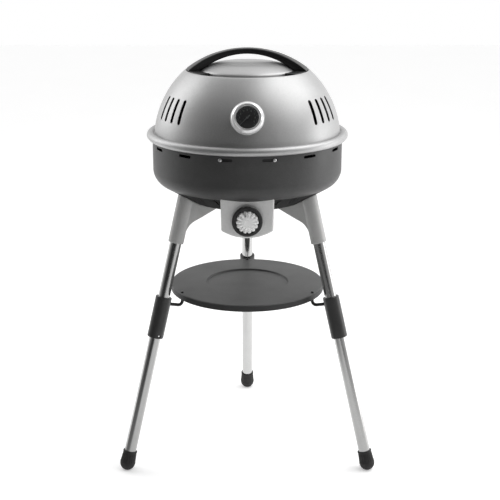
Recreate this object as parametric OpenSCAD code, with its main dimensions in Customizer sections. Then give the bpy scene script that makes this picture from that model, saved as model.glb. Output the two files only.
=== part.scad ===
// Portable gas charbroiler grill: a round kettle on three splayed tube legs.
// Lift-off lid with a strap handle and a thermometer, gas ring burner,
// round grill plate, push-and-turn gas knob, hanging round shelf and
// plug-in lower legs locked by spring buttons.
// Units are millimetres, Z is up, the floor is Z = 0 and the front is -Y.

/* [Lid] */
// Radius of the spherical lid, outside
dome_r = 223; // [180:1:260]
// Height of the lid's sphere centre above the floor
dome_z = 786.3; // [700:0.1:900]
// Thickness of the lid's sheet
lid_t = 1.2; // [1:0.1:3]
// Radius of the opening that the handle sits in
recess_r = 144.5; // [120:0.5:160]
// Radius of the raised crown under the handle
crown_r = 112; // [90:1:120]
// Height of the crown's flat top
crown_z = 971.5; // [960:0.5:990]
// Height of the groove's floor
groove_z = 947; // [935:0.5:953]
// Radius of the rolled rim's section
rim_roll = 9.5; // [6:0.5:12]
// Length of each lid vent slot
vent_len = 59; // [30:1:70]
// Width of each lid vent slot
vent_w = 10; // [4:0.5:12]

/* [Lid handle] */
// Half the handle's width at its middle
handle_half = 13; // [10:1:40]
// Height of the handle's top
handle_top = 1005; // [1000:0.5:1009]
// Radius of the finger arch under the handle
arch_r = 176; // [140:1:190]
// Height of the finger arch's top
arch_top = 992; // [980:0.5:995]

/* [Thermometer] */
// Outer radius of the thermometer's chrome ring
bezel_r = 38.4; // [25:0.1:45]
// Radius of the thermometer's glass
glass_r = 25.5; // [18:0.1:35]
// Elevation of the thermometer above the lid's sphere centre, degrees
dial_elev = 23; // [10:1:45]

/* [Bowl] */
// Outer radius of the bowl's straight wall
bowl_r = 227; // [200:1:260]
// Thickness of the bowl's sheet
bowl_t = 1.2; // [1:0.1:3]
// Height of the bowl's top edge
bowl_top = 807.2; // [780:0.1:820]
// Radius of the knuckle between the wall and the cone
knuckle_r = 40; // [20:1:60]
// Height of the knuckle's centre
knuckle_z = 720; // [700:1:740]
// Number of air slots round the bowl's top
rim_slots = 14; // [8:1:20]

/* [Legs] */
// Distance of the leg's axis from the grill's axis at the floor
foot_axis_r = 343; // [300:1:400]
// Inward lean of a leg, millimetres per millimetre of height
leg_lean = 0.263; // [0.15:0.001:0.35]
// Outer radius of the leg tubes
tube_r = 14; // [10:0.5:18]
// Wall thickness of the leg tubes
tube_t = 1.5; // [1:0.1:3]
// Outer radius of the leg sleeves
sleeve_r = 19.5; // [15:0.25:22]
// Height of the sleeve's lower end
sleeve_z0 = 329; // [300:1:380]
// Height of the sleeve's upper end
sleeve_z1 = 427; // [400:1:460]
// Outer radius of the rubber feet
foot_r = 18.75; // [15:0.25:24]

/* [Shelf] */
// Radius of the shelf
shelf_r = 189; // [150:1:200]
// Height of the shelf's top
shelf_z = 429; // [380:1:460]
// Depth of the shelf's edge
shelf_lip = 15; // [8:1:25]
// Radius of the shelf's sunk middle
shelf_sunk_r = 98; // [60:1:140]
// Distance of the shelf's hook holes from the axis
hook_r = 181.5; // [160:0.5:182]

/* [Controls] */
// Depth of the panel's front face in front of the axis
panel_y = 203; // [190:1:215]
// Height of the knob's axis
knob_z = 638.6; // [620:0.1:660]
// Radius of the knob's dark skirt
skirt_r = 35; // [25:0.5:40]
// Radius of the knob's fluted grip
grip_r = 25.3; // [15:0.1:30]
// Number of flutes round the grip
flutes = 14; // [8:1:20]

/* [Burner] */
// Radius of the burner ring's centre line
burner_r = 95; // [70:1:120]
// Height of the burner ring
burner_z = 680; // [670:1:700]
// Number of gas ports round the burner
ports = 24; // [12:1:36]

/* [Grill plate] */
// Radius of the grill plate
plate_r = 212; // [190:1:216]
// Height of the grill plate's top
plate_z = 772; // [765:0.5:780]
// Depth of the grill plate's bars
plate_t = 8; // [4:0.5:12]
// Distance from bar to bar
bar_pitch = 17; // [12:0.5:25]
// Width of a bar
bar_w = 6; // [4:0.5:10]

/* [Hidden] */
$fn = 96;
eps = 0.05;
// The kettle's axis stands this far along Y, so that the origin is the middle of the footprint
frame_y = -58.52;
tilt = atan(leg_lean);
lean_cos = cos(tilt);
LEFT = 210;
RIGHT = 330;
REAR = 90;
hook_leg_z = 410.5;
hook_bend = 9.5;
hook_axis_r = foot_axis_r - leg_lean * hook_leg_z;
hook_len = (hook_axis_r - hook_r - hook_bend * (1 + sin(tilt))) / lean_cos;
hook_bend_z = hook_leg_z - hook_len * sin(tilt) + hook_bend * lean_cos;
hook_step = hook_bend * tan((90 + tilt) / 4);
knuckle_c = bowl_r - knuckle_r;
cone_slope = tan(30);
crease_r = 135;
crease_z = knuckle_z - knuckle_r * cos(30) - (knuckle_c + knuckle_r * 0.5 - crease_r) * cone_slope;
floor_slope = 0.2;
crown_flat = 55;
crown_drop = crown_z - 954.5;
crown_arc = (pow(crown_r - crown_flat, 2) + pow(crown_drop, 2)) / (2 * crown_drop);
handle_rise = handle_top - 957.4;
handle_sphere = (143 * 143 + handle_rise * handle_rise) / (2 * handle_rise);
bezel_roll = 6.4;
venturi_y = -180;
inlet_y = -193.75;
venturi_angle = atan((burner_z - knob_z) / (-burner_r - venturi_y));
venturi_len = norm([burner_z - knob_z, -burner_r - venturi_y]);
slot_pitch = 360 / rim_slots;
support_az = [0, 128.571, -128.571];
air_az = [22, 34, 46, 74, 86, 98, 110, 122, 134, 146, 158];
rim_y = 231;
rim_z = 802;
support_r = bowl_r - bowl_t - 0.1;

module grey_paint() color([0.62, 0.63, 0.64]) children();
module dark_paint() color([0.20, 0.20, 0.21]) children();
module black_plastic() color([0.07, 0.07, 0.07]) children();
module bare_aluminium() color([0.80, 0.80, 0.80]) children();
module chrome() color([0.88, 0.88, 0.88]) children();
module steel() color([0.60, 0.60, 0.60]) children();
module brass() color([0.75, 0.62, 0.30]) children();
module rubber() color([0.14, 0.13, 0.13]) children();
module iron() color([0.12, 0.12, 0.12]) children();

// The grill's axis is placed in the frame
module place() translate([0, frame_y, 0]) children();

// Local +X points out along a leg's direction
module at_leg(a) rotate([0, 0, a]) children();

// Local +Z runs up a leg's axis from the given height
module on_leg(z) translate([foot_axis_r - leg_lean * z, 0, z]) rotate([0, -tilt, 0]) children();

// Local +Z points outward from the lid at the thermometer
module at_dial() translate([0, 0, dome_z])
    rotate([90 - dial_elev, 0, 0])
        translate([0, 0, dome_r])
            children();

// Local +Z points towards the user at the knob's height
module at_knob(y) translate([0, -y, knob_z]) rotate([90, 0, 0]) children();

// Local +Z points from the valve to the burner
module on_venturi(s) translate([0, venturi_y, knob_z])
    rotate([venturi_angle - 90, 0, 0])
        translate([0, 0, s])
            children();

// ---------------------------------------------------------------- bowl

// Half section of everything inside the bowl's outer skin, moved in by g
module bowl_section(g, top) {
    cr = crease_r - 0.3575 * g;
    cz = crease_z + floor_slope * (cr - crease_r) + 1.0198 * g;
    union() {
        polygon([[0, cz - floor_slope * cr], [cr, cz],
            [knuckle_c + (knuckle_r - g) * 0.5, knuckle_z - (knuckle_r - g) * cos(30)],
            [knuckle_c, knuckle_z], [bowl_r - g, knuckle_z], [bowl_r - g, top], [0, top]]);
        translate([knuckle_c, knuckle_z])
            intersection() {
                circle(r = knuckle_r - g);
                translate([0, -60])
                    square([60, 62]);
            }
    }
}

module bowl_solid(g) rotate_extrude() bowl_section(g, bowl_top);

// A point of the bowl's outer skin on the cone, local +Z along its outward normal
module on_cone(a, r) at_leg(a) translate([r, 0, crease_z + (r - crease_r) * cone_slope])
    rotate([0, 150, 0])
        children();

// The same on the shallow floor inside the crease
module on_floor(a, r) at_leg(a) translate([r, 0, crease_z + (r - crease_r) * floor_slope])
    rotate([0, 180 - atan(floor_slope), 0]) children();

module stadium(length, width, height) {
    union() {
        translate([-(length - width) / 2, -width / 2, -height / 2])
            cube([length - width, width, height]);
        for (s = [-1, 1])
            translate([s * (length - width) / 2, 0, -height / 2])
                cylinder(d = width, h = height, $fn = 48);
    }
}

module bowl() dark_paint() place() {
    difference() {
        rotate_extrude() difference() {
            bowl_section(0, bowl_top);
            bowl_section(bowl_t, bowl_top + 5);
        }
        for (i = [0 : rim_slots - 1])
            rotate([0, 0, -90 + slot_pitch * (i + 0.5)])
                translate([bowl_r, 0, 782])
                    rotate([90, 0, 90])
                        stadium(34, 5, 24);
        for (a = air_az)
            for (s = [-1, 1])
                rotate([0, 0, -90 + s * a])
                    translate([186, 0, 675])
                        stadium(38, 5, 60);
        for (a = [LEFT, RIGHT, REAR]) {
            on_cone(a, 142)
                cylinder(r = 3.1, h = 20, center = true);
            on_floor(a, 105)
                cylinder(r = 3.1, h = 20, center = true);
        }
        for (s = [-1, 1])
            on_cone(-90 + s * 15.3, 178)
                cylinder(r = 2.1, h = 20, center = true);
        on_venturi(20)
            cylinder(r = 13, h = 30);
        translate([0, 0, 600])
            cylinder(r = 6, h = 40);
    }
}

module plate_support(az) dark_paint() place() {
    difference() {
        rotate([0, 0, -90 + az - 20])
            rotate_extrude(angle = 40)
                polygon([[204, 761.2], [support_r, 761.2], [support_r, 789], [support_r - 1.9, 789],
                    [support_r - 1.9, 763.7], [204, 763.7]]);
        for (s = [-1, 1])
            rotate([0, 0, -90 + az + s * 15.6])
                translate([218, 0, 782])
                    rotate([0, 90, 0])
                        cylinder(r = 2.1, h = 12, $fn = 48);
    }
}

module plate_support_front() plate_support(support_az[0]);
module plate_support_left() plate_support(support_az[2]);
module plate_support_right() plate_support(support_az[1]);

// Bowed head outside, nut inside
module support_screws() chrome() place() {
    for (az = support_az)
        for (s = [-1, 1])
            rotate([0, 0, -90 + az + s * 15.6])
                translate([0, 0, 782])
                    rotate([0, 90, 0])
                        union() {
                            translate([0, 0, 219.4])
                                cylinder(r = 2, h = 9, $fn = 48);
                            translate([0, 0, 220.35])
                                cylinder(r = 3.6, h = 3.3, $fn = 6);
                            translate([0, 0, 227.15])
                                cylinder(r1 = 3.9, r2 = 2.4, h = 2.4, $fn = 48);
                        }
}

// ---------------------------------------------------------------- lid

module crown_section(g) {
    union() {
        translate([0, groove_z - 20])
            square([crown_flat + 0.5, crown_z - groove_z + 20 - g]);
        intersection() {
            translate([crown_flat, crown_z - crown_arc])
                circle(r = crown_arc - g);
            translate([crown_flat, groove_z - 20])
                square([crown_r - crown_flat - g, 60]);
        }
    }
}

// One pressing: dome, groove, crown and rolled rim
module lid_dome() grey_paint() place() {
    difference() {
        rotate_extrude() union() {
            intersection() {
                translate([0, dome_z])
                    difference() {
                        circle(r = dome_r);
                        circle(r = dome_r - lid_t);
                    }
                translate([recess_r - lid_t, 801])
                    square([100, 956.3 - 801]);
            }
            difference() {
                translate([rim_y, rim_z])
                    difference() {
                        circle(r = rim_roll);
                        circle(r = rim_roll - 1.5);
                    }
                translate([200, 780])
                    square([rim_y - 200, 20]);
            }
            translate([recess_r - lid_t, groove_z - lid_t])
                square([lid_t, 956.3 - groove_z + lid_t]);
            translate([crown_r - lid_t, groove_z - lid_t])
                square([recess_r - crown_r + lid_t, lid_t]);
            difference() {
                crown_section(0);
                crown_section(lid_t);
                square([200, groove_z - lid_t]);
            }
        }
        for (c = [-58.15, 58.15, 180])
            for (i = [-1.5 : 1 : 1.5])
                translate([0, 0, dome_z])
                    rotate([0, 0, -90 + c + i * 7.45])
                        rotate([0, 66.4, 0])
                            translate([0, 0, dome_r])
                                stadium(vent_len, vent_w, 20);
        at_dial()
            cylinder(r = 4.1, h = 30, center = true, $fn = 48);
        for (s = [-1, 1])
            for (t = [-20, 20])
                rotate([0, 0, 90 + s * 90 + t])
                    translate([128, 0, 930])
                        cylinder(r = 2.1, h = 25, $fn = 48);
    }
}

// Strap over the crown with a pad in the groove at each end
module lid_handle() black_plastic() place() {
    difference() {
        union() {
            intersection() {
                translate([0, 0, handle_top - handle_sphere])
                    sphere(r = handle_sphere);
                translate([0, 0, groove_z + eps])
                    linear_extrude(height = 70)
                        difference() {
                            circle(r = recess_r - lid_t - 0.4);
                            for (s = [-1, 1])
                                translate([0, s * (handle_half + 331)])
                                    circle(r = 331);
                        }
            }
            for (s = [0, 180])
                rotate([0, 0, s - 40])
                    rotate_extrude(angle = 80)
                        translate([crown_r + 0.4, groove_z + eps])
                            square([recess_r - lid_t - 0.4 - crown_r - 0.4, 8]);
        }
        translate([0, 0, arch_top - arch_r])
            rotate([90, 0, 0])
                cylinder(r = arch_r, h = 200, center = true);
        rotate_extrude()
            crown_section(-0.3);
        for (s = [-1, 1])
            for (t = [-20, 20])
                rotate([0, 0, 90 + s * 90 + t])
                    translate([128, 0, groove_z - 1])
                        cylinder(r = 2.03, h = 7, $fn = 48);
    }
}

module handle_screws() steel() place() {
    for (s = [-1, 1])
        for (t = [-20, 20])
            rotate([0, 0, 90 + s * 90 + t])
                translate([128, 0, groove_z - lid_t])
                    union() {
                        translate([0, 0, -2.6])
                            cylinder(r = 4, h = 2.55, $fn = 48);
                        translate([0, 0, -0.5])
                            cylinder(r = 2, h = 7.4, $fn = 48);
                    }
}

// ---------------------------------------------------------------- thermometer

module thermometer_case() chrome() place() at_dial() {
    union() {
        translate([0, 0, 0.35])
            cylinder(r = bezel_r - bezel_roll, h = 2);
        translate([0, 0, 0.35])
            difference() {
                cylinder(r = bezel_r - bezel_roll, h = 7.65);
                translate([0, 0, -1])
                    cylinder(r = bezel_r - bezel_roll - 1.6, h = 12);
            }
        rotate_extrude()
            translate([bezel_r - bezel_roll, 8])
                circle(r = bezel_roll, $fn = 64);
    }
}

module thermometer_dial() iron() place() at_dial() {
    union() {
        translate([0, 0, 6])
            cylinder(r = glass_r - 0.1, h = 0.8);
        translate([0, 0, 2.4])
            cylinder(r = 6, h = 4);
        translate([0, 0, 6.5])
            cylinder(r = 0.8, h = 2.3, $fn = 32);
    }
}

module thermometer_lens() color([0.8, 0.85, 0.88, 0.35]) place() at_dial() {
    translate([0, 0, 9.8])
        cylinder(r = glass_r, h = 1.8);
}

// Points at the start of the scale, down and to the left
module thermometer_needle() color([0.55, 0.55, 0.54]) place() at_dial() rotate([0, 0, -45]) {
    difference() {
        union() {
            translate([0, 0, 7.4])
                cylinder(r = 2.6, h = 0.9, $fn = 48);
            translate([0, 0, 7.4])
                linear_extrude(height = 0.6)
                    polygon([[-1.1, 8], [1.1, 8], [1.1, 0], [0.4, -21], [-0.4, -21], [-1.1, 0]]);
        }
        translate([0, 0, 5])
            cylinder(r = 0.85, h = 6, $fn = 32);
    }
}

module thermometer_probe() steel() place() at_dial() {
    union() {
        translate([0, 0, -12])
            cylinder(r = 4, h = 12.3, $fn = 48);
        translate([0, 0, -60])
            cylinder(r = 2.5, h = 50, $fn = 48);
        translate([0, 0, -60])
            sphere(r = 2.5, $fn = 32);
    }
}

module thermometer_nut() steel() place() at_dial() {
    translate([0, 0, -6.4])
        difference() {
            cylinder(r = 8, h = 4.6, $fn = 6);
            translate([0, 0, -1])
                cylinder(r = 4.05, h = 8, $fn = 48);
        }
}

// ---------------------------------------------------------------- legs

// Socket for the tube with a web that follows the bowl's underside
module leg_bracket(a) grey_paint() place() difference() {
    at_leg(a)
        difference() {
            union() {
                on_leg(557)
                    cylinder(r = 18.5, h = 135);
                translate([0, 13, 0])
                    rotate([90, 0, 0])
                        linear_extrude(height = 26)
                            polygon([[198, 562], [181.5, 564], [180, 572], [177.5, 579], [173.5, 586],
                                [168.5, 593], [163.5, 598.5], [157, 603], [149, 606.5], [124.5, 616],
                                [86, 632], [74, 634], [74, 700], [168, 700]]);
            }
            on_leg(550)
                cylinder(r = tube_r + eps, h = (654.3 - 550) / lean_cos);
        }
    bowl_solid(-eps);
    on_cone(a, 142)
        cylinder(r = 3.03, h = 19);
    on_floor(a, 105)
        cylinder(r = 3.03, h = 10.2);
}

module leg_bracket_left() leg_bracket(LEFT);
module leg_bracket_right() leg_bracket(RIGHT);
module leg_bracket_rear() leg_bracket(REAR);

// Two in each bracket, heads inside the bowl
module bracket_bolts() steel() place() {
    for (a = [LEFT, RIGHT, REAR]) {
        on_cone(a, 142)
            union() {
                translate([0, 0, -bowl_t - 3.55])
                    cylinder(r = 5.5, h = 3.5, $fn = 6);
                translate([0, 0, -bowl_t - 1])
                    cylinder(r = 3, h = 19 + bowl_t, $fn = 48);
            }
        on_floor(a, 105)
            union() {
                translate([0, 0, -bowl_t - 3.55])
                    cylinder(r = 5.5, h = 3.5, $fn = 6);
                translate([0, 0, -bowl_t - 1])
                    cylinder(r = 3, h = 10 + bowl_t, $fn = 48);
            }
    }
}

module tube(z0, z1) {
    on_leg(z0)
        difference() {
            cylinder(r = tube_r, h = (z1 - z0) / lean_cos);
            translate([0, 0, -1])
                cylinder(r = tube_r - tube_t, h = (z1 - z0) / lean_cos + 2);
        }
}

module upper_tube(a) bare_aluminium() place() at_leg(a) tube(380, 654);
module upper_tube_left() upper_tube(LEFT);
module upper_tube_right() upper_tube(RIGHT);
module upper_tube_rear() upper_tube(REAR);

// Joins the upper and lower tubes; the groove inside clears the button's nose
module leg_sleeve(a) black_plastic() place() at_leg(a) {
    difference() {
        on_leg(sleeve_z0)
            cylinder(r = sleeve_r, h = (sleeve_z1 - sleeve_z0) / lean_cos);
        on_leg(sleeve_z0 - 5)
            cylinder(r = tube_r + 0.06, h = 120);
        on_leg(hook_leg_z)
            rotate([0, -90, 0])
                cylinder(r = 4.03, h = 30, $fn = 48);
        on_leg(335.5)
            union() {
                rotate([-90, 0, 0])
                    cylinder(r = 3.4, h = 25, $fn = 48);
                rotate([-90, 0, 0])
                    cylinder(r = 3.6, h = 18.1, $fn = 48);
                translate([-3.6, 0, -15])
                    cube([7.2, 18.1, 15]);
            }
    }
}

module leg_sleeve_left() leg_sleeve(LEFT);
module leg_sleeve_right() leg_sleeve(RIGHT);
module leg_sleeve_rear() leg_sleeve(REAR);

// Rod square out of the sleeve, bent up into the shelf's hole
module shelf_hook(a) black_plastic() place() at_leg(a) {
    union() {
        on_leg(hook_leg_z)
            rotate([0, -90, 0])
                union() {
                    translate([0, 0, tube_r + 0.3])
                        cylinder(r = 4, h = hook_len + hook_step - tube_r - 0.3, $fn = 48);
                    translate([0, 0, hook_len + hook_step])
                        sphere(r = 4.12, $fn = 48);
                }
        translate([hook_r, 0, hook_bend_z - hook_step])
            rotate([0, 180 - (90 + tilt) / 2, 0])
                cylinder(r = 4, h = 2 * hook_step, $fn = 48);
        translate([hook_r, 0, hook_bend_z - hook_step])
            sphere(r = 4.12, $fn = 48);
        translate([hook_r, 0, hook_bend_z - hook_step])
            cylinder(r = 4, h = shelf_z - 1.5 - 0.3 - hook_bend_z + hook_step, $fn = 48);
        translate([hook_r, 0, shelf_z - 14])
            cylinder(r = 3.1, h = 17.2, $fn = 48);
    }
}

module shelf_hook_left() shelf_hook(LEFT);
module shelf_hook_right() shelf_hook(RIGHT);
module shelf_hook_rear() shelf_hook(REAR);

// Runs up into the sleeve, with a hole for the button
module lower_tube(a) bare_aluminium() place() at_leg(a) {
    difference() {
        tube(22, 379.3);
        on_leg(335.5)
            rotate([-90, 0, 0])
                cylinder(r = 3, h = 30, $fn = 48);
    }
}

module lower_tube_left() lower_tube(LEFT);
module lower_tube_right() lower_tube(RIGHT);
module lower_tube_rear() lower_tube(REAR);

// Rubber cap, flat where it meets the floor
module foot(a) rubber() place() at_leg(a) {
    intersection() {
        difference() {
            union() {
                on_leg(16)
                    cylinder(r1 = foot_r, r2 = foot_r - 2.4, h = 31 / lean_cos);
                on_leg(16)
                    sphere(r = foot_r);
            }
            on_leg(21.9)
                cylinder(r = tube_r + 0.02, h = 40);
        }
        translate([foot_axis_r - 60, -60, 0])
            cube([120, 120, 80]);
    }
}

module foot_left() foot(LEFT);
module foot_right() foot(RIGHT);
module foot_rear() foot(REAR);

// Button with its flange and the leaf that pushes it out
module snap_button(a) chrome() place() at_leg(a) on_leg(335.5) {
    union() {
        rotate([-90, 0, 0]) {
            translate([0, 0, 9.4])
                cylinder(r = 2.95, h = 6.9, $fn = 48);
            translate([0, 0, 16.3])
                cylinder(r1 = 2.95, r2 = 1.9, h = 1.3, $fn = 48);
            translate([0, 0, 9.2])
                cylinder(r = 5, h = 1.4, $fn = 48);
        }
        translate([-3, 8.4, -4])
            cube([6, 0.9, 36]);
    }
}

module snap_button_left() snap_button(LEFT);
module snap_button_right() snap_button(RIGHT);
module snap_button_rear() snap_button(REAR);

// ---------------------------------------------------------------- shelf

module shelf() dark_paint() place() {
    difference() {
        rotate_extrude()
            polygon([[0, shelf_z - 5.5], [shelf_sunk_r + 2.6, shelf_z - 5.5],
                [shelf_sunk_r + 4.2, shelf_z - 1.5], [shelf_r - 1.5, shelf_z - 1.5],
                [shelf_r - 1.5, shelf_z - shelf_lip], [shelf_r, shelf_z - shelf_lip],
                [shelf_r, shelf_z - 2], [shelf_r - 2, shelf_z],
                [shelf_sunk_r + 3.2, shelf_z], [shelf_sunk_r + 1.6, shelf_z - 4], [0, shelf_z - 4]]);
        for (a = [LEFT, RIGHT, REAR])
            at_leg(a)
                translate([hook_r, 0, shelf_z - 10])
                    cylinder(r = 3.5, h = 20, $fn = 48);
    }
}

// ---------------------------------------------------------------- controls

module panel_outline(g) {
    intersection() {
        polygon([[-61.3 + g, 705], [-59.4 + g, 590], [59.4 - g, 590], [61.3 - g, 705]]);
        translate([0, 706.4])
            circle(r = 110 - g);
    }
}

// Sheet box hung under the bowl's front, open behind
module control_panel() grey_paint() place() {
    difference() {
        translate([0, -150, 0])
            rotate([90, 0, 0])
                linear_extrude(height = panel_y - 150)
                    panel_outline(0);
        bowl_solid(-eps);
        difference() {
            translate([0, -140, 0])
                rotate([90, 0, 0])
                    linear_extrude(height = panel_y - 142)
                        panel_outline(2);
            difference() {
                bowl_solid(-2.05);
                translate([-34, -240, 600])
                    cube([68, 120, 120]);
            }
        }
        at_knob(panel_y - 10)
            cylinder(r = 8.05, h = 20, $fn = 64);
        for (s = [-1, 1])
            on_cone(-90 + s * 15.3, 178)
                cylinder(r = 2.1, h = 12, center = true, $fn = 48);
        translate([-20, -200.9, 590])
            cube([40, 64, 16]);
    }
}

module panel_screws() steel() place() {
    for (s = [-1, 1])
        on_cone(-90 + s * 15.3, 178)
            union() {
                translate([0, 0, -bowl_t - 2.55])
                    cylinder(r = 4, h = 2.5, $fn = 48);
                translate([0, 0, -bowl_t - 1])
                    cylinder(r = 2, h = bowl_t + 9, $fn = 48);
                translate([0, 0, 2.1])
                    cylinder(r = 4, h = 3.2, $fn = 6);
            }
}

// Gas valve behind the panel, with its nose through the panel
module valve_body() brass() place() {
    difference() {
        union() {
            at_knob(-venturi_y)
                cylinder(r = 12, h = panel_y - 2.05 + venturi_y, $fn = 64);
            at_knob(-venturi_y)
                sphere(r = 12, $fn = 64);
            at_knob(-venturi_y)
                cylinder(r = 8, h = 207.5 + venturi_y, $fn = 64);
            on_venturi(0)
                cylinder(r = 6.5, h = 16, $fn = 64);
            translate([0, inlet_y, knob_z - 17])
                cylinder(r = 7, h = 17, $fn = 64);
        }
        at_knob(185.4)
            cylinder(r = 4.05, h = 30, $fn = 48);
        on_venturi(11)
            cylinder(r = 2.53, h = 10, $fn = 48);
        translate([0, inlet_y, knob_z - 20])
            cylinder(r = 3.53, h = 13, $fn = 48);
    }
}

module valve_nut() steel() place() {
    at_knob(panel_y + eps)
        difference() {
            cylinder(r = 11.5, h = 3.2, $fn = 6);
            translate([0, 0, -1])
                cylinder(r = 8.05, h = 6, $fn = 64);
        }
}

module valve_jet() brass() place() on_venturi(0) {
    difference() {
        union() {
            translate([0, 0, 11.2])
                cylinder(r = 2.5, h = 6, $fn = 48);
            translate([0, 0, 16.05])
                cylinder(r = 4, h = 2.4, $fn = 6);
            translate([0, 0, 18])
                cylinder(r1 = 3, r2 = 1.6, h = 2.4, $fn = 48);
        }
        translate([0, 0, 10])
            cylinder(r = 0.5, h = 14, $fn = 24);
    }
}

// Screwed into the valve from below; the plain spigot takes the hose
module gas_inlet() brass() place() translate([0, inlet_y, 0]) {
    difference() {
        union() {
            translate([0, 0, knob_z - 23])
                cylinder(r = 8, h = 5.95, $fn = 6);
            translate([0, 0, knob_z - 18])
                cylinder(r = 3.5, h = 10, $fn = 48);
            translate([0, 0, knob_z - 40.5])
                cylinder(r = 4, h = 18, $fn = 48);
        }
        translate([0, 0, knob_z - 43.5])
            cylinder(r = 2, h = 50, $fn = 48);
    }
}

// Spring cup that slides when the knob is pushed
module valve_plunger() brass() place() at_knob(0) {
    difference() {
        translate([0, 0, 190])
            cylinder(r = 4, h = 17, $fn = 48);
        translate([0, 0, 192])
            cylinder(r = 2.55, h = 30, $fn = 48);
    }
}

module valve_spindle() steel() place() at_knob(0) {
    translate([0, 0, 192.4])
        cylinder(r = 2.5, h = 26, $fn = 48);
}

module knob_skirt() black_plastic() place() at_knob(0) {
    rotate_extrude()
        difference() {
            union() {
                translate([grip_r + 0.05, 208])
                    square([skirt_r - grip_r - 0.05, 5]);
                translate([grip_r + 0.05, 208])
                    square([skirt_r - grip_r - 2.05, 7]);
                translate([skirt_r - 2, 213])
                    circle(r = 2, $fn = 32);
            }
            square([0.1, 0.1]);
        }
}

// Fluted grip with a bore for the spindle
module knob_grip() chrome() place() at_knob(0) {
    difference() {
        union() {
            translate([0, 0, 208])
                cylinder(r = grip_r, h = 12);
            translate([0, 0, 220])
                cylinder(r1 = grip_r, r2 = grip_r - 2, h = 2);
        }
        translate([0, 0, 207])
            difference() {
                cylinder(r = 22, h = 6);
                translate([0, 0, 4.7])
                    cylinder(r = 6, h = 3);
            }
        translate([0, 0, 207])
            cylinder(r = 2.52, h = 11.5, $fn = 48);
        translate([0, 0, 219])
            cylinder(r = 14, h = 5);
        for (i = [0 : flutes - 1])
            rotate([0, 0, (i + 0.5) * 360 / flutes])
                translate([grip_r + 0.6, 0, 215.2])
                    cylinder(r = 2.4, h = 9, $fn = 32);
    }
}

// ---------------------------------------------------------------- burner

module burner_torus(r) rotate_extrude() translate([burner_r, burner_z]) circle(r = r, $fn = 64);

module venturi_tube() steel() place() {
    difference() {
        union() {
            on_venturi(22)
                cylinder(r1 = 12, r2 = 9, h = 10, $fn = 64);
            on_venturi(31)
                cylinder(r = 9, h = venturi_len - 31, $fn = 64);
        }
        on_venturi(21.9)
            cylinder(r1 = 11, r2 = 7.6, h = 9.2, $fn = 64);
        on_venturi(31)
            cylinder(r = 7.6, h = venturi_len, $fn = 64);
        burner_torus(10.05);
    }
}

// Ring on three posts that stand on the bowl's floor and carry the tamer
module burner_ring() steel() place() {
    difference() {
        union() {
            burner_torus(10);
            for (a = [0, 120, 240])
                at_leg(a)
                    translate([103, -7, 640.5])
                        cube([3, 14, 59.5]);
        }
        burner_torus(8.8);
        on_venturi(40)
            cylinder(r = 7, h = venturi_len - 40, $fn = 64);
        for (i = [0 : ports - 1])
            rotate([0, 0, (i + 0.5) * 360 / ports])
                translate([burner_r, 0, burner_z])
                    cylinder(r = 1.25, h = 14, $fn = 24);
    }
}

module flame_tamer() steel() place() {
    difference() {
        rotate_extrude()
            polygon([[0, 706.3], [60, 706.3], [72, 700.2], [138.5, 700.2], [138.5, 693], [140, 693],
                [140, 701.7], [72.4, 701.7], [60.4, 707.8], [0, 707.8]]);
        for (i = [0 : 17])
            rotate([0, 0, i * 20 + 10])
                translate([122, 0, 690])
                    cylinder(r = 6, h = 25, $fn = 48);
    }
}

// ---------------------------------------------------------------- grill plate

module grill_plate() iron() place() {
    translate([0, 0, plate_z - plate_t])
        linear_extrude(height = plate_t)
            union() {
                difference() {
                    circle(r = plate_r);
                    circle(r = plate_r - 8);
                }
                intersection() {
                    circle(r = plate_r - 4);
                    union() {
                        for (i = [-11 : 11])
                            translate([i * bar_pitch - bar_w / 2, -plate_r])
                                square([bar_w, 2 * plate_r]);
                        for (s = [-1, 0, 1])
                            translate([-plate_r, s * 105 - 3])
                                square([2 * plate_r, 6]);
                    }
                }
            }
}

// ---------------------------------------------------------------- drawing

lid_dome();
lid_handle();
handle_screws();
thermometer_case();
thermometer_dial();
thermometer_lens();
thermometer_probe();
thermometer_nut();
thermometer_needle();
bowl();
plate_support_front();
plate_support_left();
plate_support_right();
support_screws();
leg_bracket_left();
leg_bracket_right();
leg_bracket_rear();
bracket_bolts();
upper_tube_left();
upper_tube_right();
upper_tube_rear();
leg_sleeve_left();
leg_sleeve_right();
leg_sleeve_rear();
shelf_hook_left();
shelf_hook_right();
shelf_hook_rear();
shelf();
lower_tube_left();
lower_tube_right();
lower_tube_rear();
foot_left();
foot_right();
foot_rear();
snap_button_left();
snap_button_right();
snap_button_rear();
control_panel();
panel_screws();
valve_body();
valve_nut();
valve_jet();
gas_inlet();
valve_plunger();
valve_spindle();
knob_skirt();
knob_grip();
venturi_tube();
burner_ring();
flame_tamer();
grill_plate();
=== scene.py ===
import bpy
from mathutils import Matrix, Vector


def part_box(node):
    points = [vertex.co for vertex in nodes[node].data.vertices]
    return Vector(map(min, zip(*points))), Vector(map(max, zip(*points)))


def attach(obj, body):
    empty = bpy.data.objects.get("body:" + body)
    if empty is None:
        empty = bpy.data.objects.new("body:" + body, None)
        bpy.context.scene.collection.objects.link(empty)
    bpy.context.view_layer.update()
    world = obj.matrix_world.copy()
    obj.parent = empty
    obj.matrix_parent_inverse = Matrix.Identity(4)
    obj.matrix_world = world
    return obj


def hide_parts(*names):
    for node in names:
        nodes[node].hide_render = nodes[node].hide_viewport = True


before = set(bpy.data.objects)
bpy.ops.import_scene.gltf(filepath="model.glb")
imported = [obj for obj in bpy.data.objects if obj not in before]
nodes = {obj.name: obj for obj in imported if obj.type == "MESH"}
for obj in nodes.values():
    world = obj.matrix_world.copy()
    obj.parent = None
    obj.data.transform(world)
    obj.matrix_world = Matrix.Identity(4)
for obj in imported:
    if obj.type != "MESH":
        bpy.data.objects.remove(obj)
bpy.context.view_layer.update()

import math
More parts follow.
